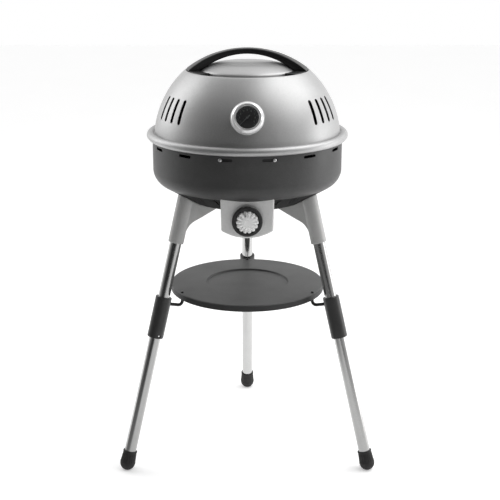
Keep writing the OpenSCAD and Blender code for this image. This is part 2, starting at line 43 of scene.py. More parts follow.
import bpy
import bmesh
import numpy as np
from mathutils import Matrix, Vector

# Outlines are in millimetres; the frame, the camera and the lights are in metres.
scene = bpy.context.scene
lo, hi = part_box("bowl")
AY = (lo[1] + hi[1]) / 2          # the kettle's axis along Y, metres
MM = 0.001
AXIS = Matrix.Translation((0, AY, 0))
LEGS = {"left": 210, "right": 330, "rear": 90}      # azimuth of each leg, degrees
LEG_R = 343                 # a leg's axis from the kettle's axis, at floor level
LEAN = 0.263                # how far a leg's axis leans in for each unit of height
TILT = math.atan(LEAN)
COS_T, SIN_T = math.cos(TILT), math.sin(TILT)
KNOB_Z = 638.6              # height of the knob's axis
RIM_HOLE_Z = 782            # height of the slots and the screws under the bowl's rim


# ------------------------------------------------------------------ camera
CAM_BACK, CAM_HEIGHT = 2.6998, 1.3118       # metres from the kettle's axis, and above the floor
CAM_DOWN = 0.2890                           # radians below the horizon
cam_data = bpy.data.cameras.new("camera")
cam_data.sensor_width = 36
cam_data.lens = 82.0
cam_data.shift_x = 0.0054
cam_data.clip_start = 0.05
cam_data.clip_end = 100
cam = bpy.data.objects.new("camera", cam_data)
scene.collection.objects.link(cam)
cam.location = (0, AY - CAM_BACK, CAM_HEIGHT)
cam.rotation_euler = (math.pi / 2 - CAM_DOWN, 0, 0)
scene.camera = cam


# ------------------------------------------------------------------ mesh tools


def rounded(points):
    """Closed (x, y, r) outline, counter-clockwise, to [(x, y, normal in, normal out)].
    r > 0 rounds the corner, 0 keeps it sharp, and -1 marks a point on a smooth curve."""
    n = len(points)
    out = []
    for i in range(n):
        p0, p1, p2 = (np.array(points[(i + k) % n][:2], float) for k in (-1, 0, 1))
        r = points[i][2]
        d0, d1 = p1 - p0, p2 - p1
        l0, l1 = np.hypot(*d0), np.hypot(*d1)
        d0, d1 = d0 / l0, d1 / l1
        n0, n1 = np.array([d0[1], -d0[0]]), np.array([d1[1], -d1[0]])
        turn = math.atan2(d0[0] * d1[1] - d0[1] * d1[0], float(np.dot(d0, d1)))
        if r == 0 or abs(turn) < 1e-4:
            out.append((p1[0], p1[1], n0, n1))
            continue
        if r < 0:
            m = n0 + n1
            m /= np.hypot(*m)
            out.append((p1[0], p1[1], m, m))
            continue
        t = r * math.tan(abs(turn) / 2)
        k = min(1.0, 0.49 * min(l0, l1) / t)
        r, t = r * k, t * k
        s = 1 if turn > 0 else -1
        a = p1 - d0 * t
        c = a - n0 * r * s
        steps = max(2, int(math.ceil(abs(turn) / math.radians(13))))
        for j in range(steps + 1):
            w = turn * j / steps
            nn = np.array([n0[0] * math.cos(w) - n0[1] * math.sin(w),
                           n0[0] * math.sin(w) + n0[1] * math.cos(w)])
            p = c + nn * r * s
            out.append((p[0], p[1], nn, nn))
    return out


def arc(cx, cy, r, a0, a1, steps):
    """Points marked smooth along an arc, ends included, degrees."""
    return [(cx + r * math.cos(math.radians(a0 + (a1 - a0) * k / steps)),
             cy + r * math.sin(math.radians(a0 + (a1 - a0) * k / steps)), -1) for k in range(steps + 1)]


def obj_from(name, verts, faces, material, matrix=AXIS, normals=None, scale=MM):
    me = bpy.data.meshes.new(name)
    me.from_pydata([tuple(float(c) * scale for c in v) for v in verts], [], [tuple(f) for f in faces])
    me.update()
    me.polygons.foreach_set("use_smooth", [True] * len(me.polygons))
    if normals is not None:
        me.normals_split_custom_set([tuple(float(c) for c in v) for v in normals])
    if material:
        me.materials.append(material)
    o = bpy.data.objects.new(name, me)
    scene.collection.objects.link(o)
    o.matrix_world = matrix
    return o


def lathe(name, outline, material, seg=128, matrix=AXIS, angle=(0, 360)):
    """Turns a closed outline in (radius, height), counter-clockwise, about Z, with exact normals."""
    pts = rounded(outline)
    n = len(pts)
    full = abs(angle[1] - angle[0] - 360) < 1e-6
    cols = seg if full else seg + 1
    cs = [(math.cos(math.radians(angle[0] + (angle[1] - angle[0]) * j / seg)),
           math.sin(math.radians(angle[0] + (angle[1] - angle[0]) * j / seg))) for j in range(cols)]
    verts, index = [], []
    for x, y, a, b in pts:
        if x < 1e-6:
            index.append([len(verts)] * cols)
            verts.append((0, 0, y))
        else:
            index.append(list(range(len(verts), len(verts) + cols)))
            verts += [(x * c, x * s, y) for c, s in cs]
    faces, normals = [], []
    for i in range(n):
        k = (i + 1) % n
        if pts[i][0] < 1e-6 and pts[k][0] < 1e-6:
            continue
        na, nb = pts[i][3], pts[k][2]
        for j in range(seg):
            j2 = (j + 1) % cols
            f = [(index[i][j], na, j), (index[i][j2], na, j2), (index[k][j2], nb, j2), (index[k][j], nb, j)]
            if f[0][0] == f[1][0]:
                f = f[1:]
            elif f[2][0] == f[3][0]:
                f = f[:3]
            faces.append([v[0] for v in f])
            for _, nn, jj in f:
                c, s = cs[jj]
                normals.append((nn[0] * c, nn[0] * s, nn[1]))
    if not full:
        for j, d in ((0, -1), (cols - 1, 1)):
            f = [index[i][j] for i in range(n)]
            c, s = cs[j]
            faces.append(f if d < 0 else f[::-1])
            normals += [(-s * d, c * d, 0)] * n
    return obj_from(name, verts, faces, material, matrix, normals)


def apply_modifiers(o):
    dg = bpy.context.evaluated_depsgraph_get()
    me = bpy.data.meshes.new_from_object(o.evaluated_get(dg), depsgraph=dg)
    old = o.data
    o.modifiers.clear()
    o.data = me
    bpy.data.meshes.remove(old)


def cut(o, cutters, outline=None):
    """Takes the cutters out of o, and gives the turned faces their exact normals back."""
    bm = bmesh.new()
    for c in cutters:
        m = c.data.copy()
        m.transform(c.matrix_world)
        bm.from_mesh(m)
        bpy.data.meshes.remove(m)
    me = bpy.data.meshes.new("cutters")
    bm.to_mesh(me)
    bm.free()
    tool = bpy.data.objects.new("cutters", me)
    scene.collection.objects.link(tool)
    bpy.context.view_layer.update()
    mod = o.modifiers.new("cut", "BOOLEAN")
    mod.operation, mod.solver, mod.object = "DIFFERENCE", "EXACT", tool
    apply_modifiers(o)
    bpy.data.objects.remove(tool)
    for c in cutters:
        bpy.data.objects.remove(c)
    if outline is not None:
        turned_normals(o, outline)


def turned_normals(o, outline):
    """Gives each face corner that lies on the turned outline the outline's own normal."""
    me = o.data
    pts = rounded(outline)
    n = len(pts)
    a = np.array([[p[0], p[1]] for p in pts]) * MM
    b = np.roll(a, -1, axis=0)
    na = np.array([p[3] for p in pts])
    nb = np.roll(np.array([p[2] for p in pts]), -1, axis=0)
    ab = b - a
    ln2 = np.maximum((ab ** 2).sum(1), 1e-16)
    co = np.empty(len(me.vertices) * 3)
    me.vertices.foreach_get("co", co)
    co = co.reshape(-1, 3)
    lv = np.empty(len(me.loops), int)
    me.loops.foreach_get("vertex_index", lv)
    fn = np.empty(len(me.polygons) * 3)
    me.polygons.foreach_get("normal", fn)
    fn = fn.reshape(-1, 3)
    tot = np.empty(len(me.polygons), int)
    me.polygons.foreach_get("loop_total", tot)
    lf = np.repeat(np.arange(len(me.polygons)), tot)
    out = fn[lf].copy()
    P = co[lv]
    r = np.hypot(P[:, 0], P[:, 1])
    c, s = P[:, 0] / np.maximum(r, 1e-9), P[:, 1] / np.maximum(r, 1e-9)
    F = fn[lf]
    fr = F[:, 0] * c + F[:, 1] * s
    chunk, same_side, near, far = 20000, 0.8, 0.0004, 9.0
    for k0 in range(0, len(P), chunk):
        sl = slice(k0, k0 + chunk)
        q = np.stack([r[sl], P[sl, 2]], 1)[:, None, :]
        t = np.clip(((q - a) * ab).sum(2) / ln2, 0, 1)
        d = np.hypot(*(np.moveaxis(q - (a + ab * t[..., None]), 2, 0)))
        nn = na * (1 - t[..., None]) + nb * t[..., None]
        nn /= np.maximum(np.linalg.norm(nn, axis=2, keepdims=True), 1e-9)
        dot = nn[..., 0] * fr[sl][:, None] + nn[..., 1] * F[sl, 2][:, None]
        d = np.where(dot > same_side, d, far)
        i = d.argmin(1)
        rows = np.arange(len(i))
        ok = d[rows, i] < near
        best = nn[rows, i]
        res = np.stack([best[:, 0] * c[sl], best[:, 0] * s[sl], best[:, 1]], 1)
        o_sl = out[sl]
        o_sl[ok] = res[ok]
        out[sl] = o_sl
    me.polygons.foreach_set("use_smooth", [True] * len(me.polygons))
    me.normals_split_custom_set([tuple(v) for v in out])
    me.update()


def prism(name, outline, h0, h1, material, matrix=AXIS, bevel=0.0, segments=3):
    """Extrudes a closed 2D outline from h0 to h1 along Z, millimetres."""
    n = len(outline)
    verts = [(x, y, h0) for x, y in outline] + [(x, y, h1) for x, y in outline]
    faces = [list(range(n))[::-1], list(range(n, 2 * n))]
    faces += [[i, (i + 1) % n, n + (i + 1) % n, n + i] for i in range(n)]
    o = obj_from(name, verts, faces, material, matrix)
    if bevel:
        m = o.modifiers.new("bevel", "BEVEL")
        m.width, m.segments, m.limit_method, m.angle_limit = bevel * MM, segments, "ANGLE", math.radians(40)
        apply_modifiers(o)
    smooth_by_angle(o, 35)
    return o


def smooth_by_angle(o, degrees):
    o.data.polygons.foreach_set("use_smooth", [True] * len(o.data.polygons))
    o.data.set_sharp_from_angle(angle=math.radians(degrees))


def recalculate_normals(o):
    bm = bmesh.new()
    bm.from_mesh(o.data)
    bmesh.ops.recalc_face_normals(bm, faces=bm.faces)
    bm.to_mesh(o.data)
    bm.free()


def bake(*objects):
    """Moves each object's matrix into its mesh, so that pieces with different matrices can be joined."""
    for o in objects:
        bpy.context.view_layer.update()
        o.data.transform(o.matrix_world)
        o.matrix_world = Matrix.Identity(4)


def skin(name, rings, material, matrix=AXIS):
    """Closed skin over rings of points, with a cap on the first ring and on the last."""
    sides = len(rings[0])
    last = (len(rings) - 1) * sides
    faces = [[i * sides + j, i * sides + (j + 1) % sides,
              (i + 1) * sides + (j + 1) % sides, (i + 1) * sides + j]
             for i in range(len(rings) - 1) for j in range(sides)]
    faces += [list(range(sides))[::-1], [last + j for j in range(sides)]]
    o = obj_from(name, [p for ring in rings for p in ring], faces, material, matrix)
    recalculate_normals(o)
    return o


def sweep(name, path, radii, material, matrix, sides):
    """Round rod along a path of points, with a radius at each, millimetres."""
    P = [Vector(p) for p in path]
    rings, side = [], None
    for i, p in enumerate(P):
        d = (P[min(i + 1, len(P) - 1)] - P[max(i - 1, 0)]).normalized()
        if side is None:
            side = d.cross(Vector((0, 0, 1)) if abs(d.z) < 0.9 else Vector((1, 0, 0))).normalized()
        side = (side - d * side.dot(d)).normalized()
        other = d.cross(side)
        turns = [2 * math.pi * k / sides for k in range(sides)]
        rings.append([p + (side * math.cos(w) + other * math.sin(w)) * radii[i] for w in turns])
    o = skin(name, rings, material, matrix)
    smooth_by_angle(o, 40)
    return o


def soft_copy(name, node, voxel, passes, material):
    """The CAD node's own shape with softly rounded edges, as a casting or moulding has."""
    me = nodes[node].data.copy()
    o = bpy.data.objects.new(name, me)
    scene.collection.objects.link(o)
    me.materials.clear()
    me.materials.append(material)
    m = o.modifiers.new("remesh", "REMESH")
    m.mode, m.voxel_size, m.use_smooth_shade = "VOXEL", voxel * MM, True
    s = o.modifiers.new("smooth", "SMOOTH")
    s.factor, s.iterations = 0.5, passes
    apply_modifiers(o)
    o.data.polygons.foreach_set("use_smooth", [True] * len(o.data.polygons))
    if not o.data.materials:
        o.data.materials.append(material)
    return o


def join(name, objs):
    """One object from several with the same matrix, keeping custom normals."""
    bpy.ops.object.select_all(action="DESELECT")
    for o in objs:
        o.select_set(True)
    bpy.context.view_layer.objects.active = objs[0]
    bpy.ops.object.join()
    objs[0].name = name
    return objs[0]


def turned(a):
    """The kettle's axis, with local +X towards azimuth a."""
    return AXIS @ Matrix.Rotation(math.radians(a), 4, "Z")


def at_front(a):
    """The same, with the azimuth counted from the front."""
    return turned(a - 90)


def leg_matrix(a, z):
    """Local +Z up the leg's axis from the given height, local +X outward."""
    return (turned(a) @ Matrix.Translation(((LEG_R - LEAN * z) * MM, 0, z * MM))
            @ Matrix.Rotation(-TILT, 4, "Y"))


def plug(radius, low, high):
    """Outline of a plain rod, for lathe."""
    return [(0, low, 0), (radius, low, 0), (radius, high, 0), (0, high, 0)]


def stadium(length, width, n=10):
    """Outline of a slot with round ends, long along X, for prism."""
    half = (length - width) / 2
    return [(end * half + width / 2 * math.cos(math.radians(a)), width / 2 * math.sin(math.radians(a)))
            for end, start in ((1, -90), (-1, 90)) for a in np.linspace(start, start + 180, n)]


def paint_faces(o, look, test):
    """Gives look to the faces for which test(centre in millimetres, normal) holds."""
    o.data.materials.append(look)
    index = len(o.data.materials) - 1
    for face in o.data.polygons:
        if test(face.center / MM, face.normal):
            face.material_index = index


def put(o, body, slot, *replaced):
    """Makes o a visible piece: it rides on the body, and the CAD nodes it stands for are hidden. The slot
    argument is not used.
    """
    if replaced:
        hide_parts(*replaced)
    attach(o, body)


# ------------------------------------------------------------------ materials
def material(name, color, metallic=0.0, rough=0.5, rough_var=0.06, tint=0.05, tint_scale=18.0, grain=(),
             grain_distance=0.0002, flakes=0.0, specular=0.5, streak=0.0, transmission=0.0, second=None):
    """A surface whose roughness varies by rough_var and whose colour varies by tint.
    grain holds (scale, strength) bumps, flakes is a sparkle in the paint, streak is the fine lines
    of a drawn tube, and second is a stain over part of the surface."""
    m = bpy.data.materials.new(name)
    m.use_nodes = True
    nt = m.node_tree
    nt.nodes.clear()
    N, L = nt.nodes.new, nt.links.new
    out = N("ShaderNodeOutputMaterial")
    b = N("ShaderNodeBsdfPrincipled")
    L(b.outputs[0], out.inputs[0])
    for socket, value in (("Metallic", metallic), ("Specular IOR Level", specular),
                          ("Transmission Weight", transmission), ("IOR", 1.45)):
        b.inputs[socket].default_value = value
    place = N("ShaderNodeTexCoord").outputs["Object"]

    def noise(scale, detail=4.0, roughness=0.55, at=place):
        t = N("ShaderNodeTexNoise")
        t.inputs["Scale"].default_value = scale
        t.inputs["Detail"].default_value = detail
        t.inputs["Roughness"].default_value = roughness
        L(at, t.inputs["Vector"])
        return t.outputs[0]

    def ranged(src, a, c, frm=(0.3, 0.7)):
        r = N("ShaderNodeMapRange")
        r.inputs["From Min"].default_value, r.inputs["From Max"].default_value = frm
        r.inputs["To Min"].default_value, r.inputs["To Max"].default_value = a, c
        L(src, r.inputs["Value"])
        return r.outputs[0]

    def mixed(factor, first, other, blend="MIX"):
        x = N("ShaderNodeMix")
        x.data_type, x.blend_type = "RGBA", blend
        for k, v in ((0, factor), (6, first), (7, other)):
            if isinstance(v, bpy.types.NodeSocket):
                L(v, x.inputs[k])
            else:
                x.inputs[k].default_value = v
        return x.outputs[2]

    def bump(height, strength, distance, below):
        bp = N("ShaderNodeBump")
        bp.inputs["Strength"].default_value = strength
        bp.inputs["Distance"].default_value = distance
        L(height, bp.inputs["Height"])
        if below is not None:
            L(below, bp.inputs["Normal"])
        return bp.outputs[0]

    L(ranged(noise(tint_scale), rough - rough_var, rough + rough_var), b.inputs["Roughness"])
    dark = (*[c * (1 - tint) for c in color], 1)
    light = (*[min(1, c * (1 + tint)) for c in color], 1)
    col = mixed(ranged(noise(tint_scale * 1.7), 0, 1), dark, light)
    if flakes:
        cells = N("ShaderNodeTexVoronoi")
        cells.inputs["Scale"].default_value = 1400
        L(place, cells.inputs["Vector"])
        split = N("ShaderNodeSeparateColor")
        L(cells.outputs["Color"], split.inputs[0])
        grey = N("ShaderNodeCombineColor")
        sparkle = ranged(split.outputs[0], 1 - flakes, 1 + flakes, (0, 1))
        for k in range(3):
            L(sparkle, grey.inputs[k])
        col = mixed(1.0, col, grey.outputs[0], "MULTIPLY")
    if second:
        stain = ranged(noise(second["scale"], 6, 0.65), 0, second["amount"], second["range"])
        col = mixed(stain, col, (*second["color"], 1))
    L(col, b.inputs["Base Color"])
    normal = None
    if streak:
        along = N("ShaderNodeMapping")
        along.inputs["Scale"].default_value = (900, 900, 6)
        L(place, along.inputs[0])
        normal = bump(noise(1.0, 3, 0.5, along.outputs[0]), streak, 0.00005, normal)
    for scale, strength in grain:
        normal = bump(noise(scale, 3), strength, grain_distance, normal)
    if normal is not None:
        L(normal, b.inputs["Normal"])
    return m


M = {
    "lid": material("lid_paint", (0.48, 0.48, 0.48), 0.80, 0.45, 0.03, 0.03, 9, [(1800, 0.10)], flakes=0.10),
    "bowl": material("bowl_paint", (0.058, 0.058, 0.058), 0.20, 0.44, 0.04, 0.10, 9, [(1500, 0.16)],
                     flakes=0.15),
    # painted shade: the bowl's own paint, darker and duller, for the shade under the kettle
    "bowl_painted_shade": material("underside_painted_shade", (0.022, 0.022, 0.022), 0.0, 0.70, 0.05, 0.15, 9, [(1500, 0.2)],
                           specular=0.12),
    "casting": material("bracket_paint", (0.44, 0.44, 0.435), 0.20, 0.45, 0.05, 0.05, 22,
                        [(1300, 0.20), (300, 0.08)], flakes=0.08),
    "panel": material("panel_paint", (0.66, 0.66, 0.655), 0.15, 0.45, 0.04, 0.04, 22, [(1600, 0.12)],
                      flakes=0.08),
    # painted shade: near-black inside the lid and the bowl and on the plate supports, for the shade inside the
    # closed kettle seen through the slots
    "inside_painted_shade": material("kettle_inside_painted_shade", (0.010, 0.010, 0.010), 0.0, 0.45, 0.05, 0.2, 14, [(1500, 0.15)]),
    "sleeve": material("leg_sleeve_plastic", (0.032, 0.032, 0.032), 0.0, 0.33, 0.05, 0.15, 25, [(2200, 0.2)]),
    "black": material("black_plastic", (0.016, 0.016, 0.016), 0.0, 0.36, 0.05, 0.15, 25, [(2200, 0.25)]),
    "gloss": material("sleeve_plastic", (0.012, 0.012, 0.012), 0.0, 0.16, 0.04, 0.15, 25, [(2200, 0.10)],
                      specular=0.6),
    "ring": material("knob_ring", (0.03, 0.03, 0.03), 0.2, 0.34, 0.04, 0.10, 40, [(2400, 0.15)]),
    "tube": material("tube_aluminium", (0.55, 0.55, 0.546), 1.0, 0.17, 0.03, 0.03, 14, streak=0.35),
    "chrome": material("chrome", (0.86, 0.86, 0.86), 1.0, 0.08, 0.02, 0.02, 30, [(900, 0.02)]),
    "bezel": material("bezel_chrome", (0.88, 0.88, 0.88), 0.55, 0.10, 0.02, 0.02, 30, [(900, 0.02)]),
    "steel": material("zinc_steel", (0.60, 0.60, 0.60), 1.0, 0.28, 0.08, 0.08, 60, [(2500, 0.15)]),
    "stainless": material("stainless", (0.56, 0.55, 0.53), 1.0, 0.32, 0.08, 0.08, 20, [(1200, 0.15)]),
    "brass": material("brass", (0.60, 0.45, 0.18), 1.0, 0.25, 0.06, 0.08, 40, [(2500, 0.12)]),
    "rubber": material("rubber", (0.022, 0.021, 0.021), 0.0, 0.62, 0.08, 0.20, 60, [(2600, 0.35)]),
    # painted shade: the shelf's own paint, made darker on its lip for the shade there
    "shelf_lip_painted_shade": material("shelf_lip_painted_shade", (0.030, 0.030, 0.030), 0.1, 0.55, 0.04, 0.08, 9, [(1300, 0.30)]),
    "shelf": material("shelf_paint", (0.085, 0.086, 0.085), 0.1, 0.50, 0.04, 0.08, 9, [(1300, 0.30)],
                      flakes=0.12),
    "dial": material("dial_black", (0.012, 0.012, 0.012), 0.0, 0.35, 0.05, 0.1, 40, [(2500, 0.05)]),
    "print": material("dial_print", (0.30, 0.30, 0.30), 0.0, 0.5, 0.05, 0.05, 60, [(2500, 0.05)]),
    "needle": material("needle_grey", (0.20, 0.20, 0.197), 0.0, 0.35, 0.05, 0.05, 60, [(2500, 0.05)]),
    "glass": material("dial_glass", (0.95, 0.97, 0.98), 0.0, 0.03, 0.01, 0.01, 30, transmission=1.0),
    "knob": material("knob_silver", (0.86, 0.86, 0.855), 0.25, 0.28, 0.05, 0.04, 40, [(2500, 0.10)]),
    "iron": material("cast_iron", (0.018, 0.018, 0.019), 0.0, 0.45, 0.10, 0.2, 30, [(900, 0.5), (260, 0.3)],
                     grain_distance=0.0004),
    "burnt": material("burner_steel", (0.36, 0.34, 0.31), 1.0, 0.38, 0.10, 0.15, 20, [(900, 0.2)],
                      second={"color": (0.16, 0.10, 0.07), "scale": 28, "range": (0.5, 0.75), "amount": 0.8}),
}

CAD_LOOK = {
    "lid_dome": "lid", "lid_handle": "black", "handle_screws": "steel", "thermometer_case": "bezel",
    "thermometer_dial": "dial", "thermometer_lens": "glass", "thermometer_probe": "stainless",
    "thermometer_nut": "steel", "thermometer_needle": "needle", "bowl": "bowl",
    # the plate supports are near-black for the painted shade in the rim slots
    "plate_support_front": "inside_painted_shade", "plate_support_left": "inside_painted_shade", "plate_support_right": "inside_painted_shade",
    "support_screws": "steel", "leg_bracket_left": "casting", "leg_bracket_right": "casting",
    "leg_bracket_rear": "casting", "bracket_bolts": "steel", "upper_tube_left": "tube",
    "upper_tube_right": "tube", "upper_tube_rear": "tube", "leg_sleeve_left": "sleeve",
    "leg_sleeve_right": "sleeve", "leg_sleeve_rear": "sleeve", "shelf_hook_left": "black",
    "shelf_hook_right": "black", "shelf_hook_rear": "black", "shelf": "shelf", "lower_tube_left": "tube",
    "lower_tube_right": "tube", "lower_tube_rear": "tube", "foot_left": "rubber", "foot_right": "rubber",
    "foot_rear": "rubber", "snap_button_left": "chrome", "snap_button_right": "chrome",
    "snap_button_rear": "chrome", "control_panel": "panel", "panel_screws": "steel", "valve_body": "brass",
    "valve_nut": "steel", "valve_jet": "brass", "gas_inlet": "brass", "valve_plunger": "brass",
    "valve_spindle": "steel", "knob_skirt": "black", "knob_grip": "knob", "venturi_tube": "burnt",
    "burner_ring": "burnt", "flame_tamer": "burnt", "grill_plate": "iron",
}
for name, o in nodes.items():
    o.data.materials.clear()
    o.data.materials.append(M[CAD_LOOK[name]])

# ------------------------------------------------------------------ lid
LID_T, DOME_Z, DOME_R, GROOVE_Z = 1.2, 786.3, 223.0, 947.0
# the crown is flat as far as CROWN_FLAT, then an arc 57 wide and 17 deep
CROWN_Z, CROWN_FLAT, CROWN_EDGE = 971.5, 55, 112.3
CROWN_R = (57 ** 2 + 17 ** 2) / (2 * 17)
# the strap has a sphere on top, a circle under its arch and a circle along each side
HANDLE_TOP, HANDLE_R = 1005.0, (143 ** 2 + 47.6 ** 2) / (2 * 47.6)
ARCH_TOP, ARCH_R, SIDE_R = 992.0, 176.0, 331.0


def dome_angle(z):
    """Angle above the dome's centre at which its outer skin is at height z, degrees."""
    return math.degrees(math.asin((z - DOME_Z) / DOME_R))


def lid_outline():
    """Closed section of the pressed lid: crown, groove, dome and rolled rim, then the inner skin."""
    ri = DOME_R - LID_T
    top, low = dome_angle(953.5), dome_angle(811.0)
    p = [(0, CROWN_Z, 0)]
    p += arc(CROWN_FLAT, CROWN_Z - CROWN_R, CROWN_R, 90, 57.2, 12)
    p += [(112.0, 952.6, 2.2), (112.6, GROOVE_Z, 2.2), (143.6, GROOVE_Z, 1.6), (144.6, 955.2, 1.6)]
    p += arc(0, DOME_Z, DOME_R, top, low, 44)
    p += [(DOME_R - 0.6, 806.5, 3.0)]
    p += arc(231, 802, 9.5, 132, -84, 22)
    p += arc(231, 802, 8.1, -84, 130, 20)
    p += [(ri - 0.6, 804.0, 3.0)]
    p += arc(0, DOME_Z, ri, low - 0.5, top - 0.2, 44)
    p += [(143.4, 954.2, 0.6), (142.6, GROOVE_Z - LID_T, 1.0), (112.4, GROOVE_Z - LID_T, 1.0),
          (110.8, 951.6, 1.2)]
    p += arc(CROWN_FLAT, CROWN_Z - CROWN_R, CROWN_R - LID_T, 57.6, 90, 12)
    p += [(0, CROWN_Z - LID_T, 0)]
    return p[::-1]


def vent_cutter(azimuth):
    """A slot through the dome, long up its slope, at an azimuth from the front."""
    m = (AXIS @ Matrix.Translation((0, 0, DOME_Z * MM)) @ Matrix.Rotation(math.radians(azimuth - 90), 4, "Z")
         @ Matrix.Rotation(math.radians(66.4), 4, "Y") @ Matrix.Translation((0, 0, DOME_R * MM)))
    return prism("vent_cutter", stadium(59, 10), -10, 10, None, m)


def lid_inside(at, normal):
    """The inner skin, without the rolled rim."""
    r = math.hypot(at.x, at.y)
    if 146 < r < 221.5:
        return normal.dot((at - Vector((0, 0, DOME_Z))).normalized()) < -0.3
    return r <= 146 and normal.z < -0.3


section = lid_outline()
lid = lathe("lid_shell", section, M["lid"], seg=192)
vents = [vent_cutter(group + i * 7.45) for group in (-58.15, 58.15, 180) for i in (-1.5, -0.5, 0.5, 1.5)]
cut(lid, vents, section)
# painted shade: the lid's inner skin near-black
paint_faces(lid, M["inside_painted_shade"], lid_inside)
put(lid, "lid", "grey_paint", "lid_dome")


def handle_mesh():
    """Strap over the crown, with its feet in the groove."""
    def half_width(x):
        h = 13.0 + SIDE_R - math.sqrt(SIDE_R ** 2 - x * x)
        return min(h, math.sqrt(max(0.0, 142.9 ** 2 - x * x)))

    def underside(x):
        under = max(ARCH_TOP - ARCH_R + math.sqrt(ARCH_R ** 2 - x * x), GROOVE_Z + 0.1)
        if abs(x) >= CROWN_EDGE:
            return under
        past = max(0.0, abs(x) - CROWN_FLAT)
        return max(under, CROWN_Z - CROWN_R + math.sqrt((CROWN_R + 0.3) ** 2 - past ** 2))

    def rounding(y, h, r):
        """How far the skin falls back at y, where the edge at h is rounded by r."""
        edge = max(0.0, (abs(y) - (h - r)) / r)
        return r * (1 - math.sqrt(max(0.0, 1 - edge * edge)))

    rings = []
    for t in np.linspace(-0.978, 0.978, 73):
        x = 142.2 * math.sin(math.pi / 2 * t)
        h, bottom = half_width(x), underside(x)
        ys = [h * math.sin(math.pi / 2 * u) for u in np.linspace(-1, 1, 14)]
        ring = []
        for y in ys:
            top = HANDLE_TOP - HANDLE_R + math.sqrt(HANDLE_R ** 2 - x * x - y * y) - 0.05
            ring.append((x, y, max(bottom + 1.5, top - rounding(y, h, 3.0))))
        rings.append(ring + [(x, y, bottom + rounding(y, h, 2.0)) for y in ys[::-1]])
    o = skin("handle_strap", rings, M["black"])
    smooth_by_angle(o, 50)
    return o


put(handle_mesh(), "lid", "black_plastic", "lid_handle")
pad_section = [(112.9, GROOVE_Z + 0.1, 0.4), (142.6, GROOVE_Z + 0.1, 0.4),
               (142.6, 955.0, 1.8), (112.9, 955.0, 1.8)]
for side, start in (("right", -40), ("left", 140)):
    pad = lathe(f"handle_pad_{side}", pad_section, M["black"], seg=48, angle=(start, start + 80))
    put(pad, "lid", "black_plastic")

# ------------------------------------------------------------------ thermometer
DIAL_UP = 23                # degrees that the dial faces above the horizon
AT_DIAL = (AXIS @ Matrix.Translation((0, 0, DOME_Z * MM)) @ Matrix.Rotation(math.radians(90 - DIAL_UP), 4, "X")
           @ Matrix.Translation((0, 0, DOME_R * MM)))
bezel_section = ([(25.8, 1.0, 0), (37.2, 1.0, 0.5), (38.3, 3.4, 1.6), (35.0, 9.9, 9.0), (30.4, 14.2, 0.9),
                  (29.4, 13.8, 0.4), (29.0, 10.0, 0.4), (27.2, 10.0, 0.4), (27.0, 12.4, 0.4), (25.9, 12.4, 0.4),
                  (25.6, 9.2, 0.3)])
bezel = lathe("thermometer_bezel", bezel_section, M["bezel"], seg=160, matrix=AT_DIAL)
put(bezel, "lid", "chrome_trim", "thermometer_case")
plate = lathe("dial_face", [(0, 5.2, 0), (25.4, 5.2, 0.1), (25.4, 6.8, 0.3), (0, 6.8, 0)], M["dial"],
              seg=96, matrix=AT_DIAL)
put(plate, "lid", "dial_black", "thermometer_dial")


PRINT_Z, PRINT_T = 6.92, 0.15
SEGMENTS = {"1": "bc", "2": "abged", "3": "abgcd", "4": "fgbc", "5": "afgcd", "6": "afgedc",
            "7": "abc", "8": "abcdefg", "9": "abcdfg"}
STROKES = {"a": (0, 2, 1, 2), "b": (1, 1, 1, 2), "c": (1, 0, 1, 1), "d": (0, 0, 1, 0), "e": (0, 0, 0, 1),
           "f": (0, 1, 0, 2), "g": (0, 1, 1, 1)}


def scale_marks():
    """Bars round the dial, every third one longer and wider."""
    bars = []
    for i in range(28):
        a = math.radians(225 - 270 * i / 27)
        inner, half = (20.0, 0.28) if i % 3 == 0 else (21.6, 0.175)
        bars.append((inner * math.cos(a), inner * math.sin(a), 24.0 * math.cos(a), 24.0 * math.sin(a), half))
    return bars


def numeral(digit, cx, cy, size):
    """Bars of a seven-stroke figure centred on a point."""
    bars, half = [], size * 0.07
    for stroke in SEGMENTS[digit]:
        ax, ay, bx, by = STROKES[stroke]
        a = Vector((cx + (ax - 0.5) * size / 2, cy + (ay - 1) * size / 2))
        b = Vector((cx + (bx - 0.5) * size / 2, cy + (by - 1) * size / 2))
        along = (b - a).normalized() * half
        bars.append((*(a - along), *(b + along), half))
    return bars


def printed(name, bars):
    """Thin bars on the dial, each from one point to another with a half width."""
    verts, faces = [], []
    for x0, y0, x1, y1, half in bars:
        d = Vector((x1 - x0, y1 - y0)).normalized() * half
        k0 = len(verts)
        for z in (PRINT_Z, PRINT_Z - PRINT_T):
            verts += [(x0 + d.y, y0 - d.x, z), (x1 + d.y, y1 - d.x, z),
                      (x1 - d.y, y1 + d.x, z), (x0 - d.y, y0 + d.x, z)]
        faces += [[k0, k0 + 1, k0 + 2, k0 + 3], [k0 + 7, k0 + 6, k0 + 5, k0 + 4]]
        faces += [[k0 + k, k0 + 4 + k, k0 + 4 + (k + 1) % 4, k0 + (k + 1) % 4] for k in range(4)]
    return obj_from(name, verts, faces, M["print"], AT_DIAL)


bars = scale_marks()
for i in range(9):
    a = math.radians(225 - 270 * (i + 0.5) / 9)
    bars += numeral(str(i + 1), 16.8 * math.cos(a), 16.8 * math.sin(a), 3.2)
put(printed("dial_marks", bars), "lid", "dial_black")
LENS_TOP, LENS_R = 14.3, 80
lens_section = ([(0, 9.4, 0), (25.5, 9.4, 0.2), (25.5, 10.4, 0.3)]
                + arc(0, LENS_TOP - LENS_R, LENS_R, 71.5, 90, 12))
lens = lathe("dial_lens", lens_section, M["glass"], seg=128, matrix=AT_DIAL)
put(lens, "lid", "dial_glass", "thermometer_lens")

# ------------------------------------------------------------------ bowl
BOWL_T, BOWL_R = 1.2, 227
CURVE, CURVE_R = (187, 720), 40      # the arc between the wall and the cone
CONE_Z = 643.8                       # where the cone meets the flatter middle


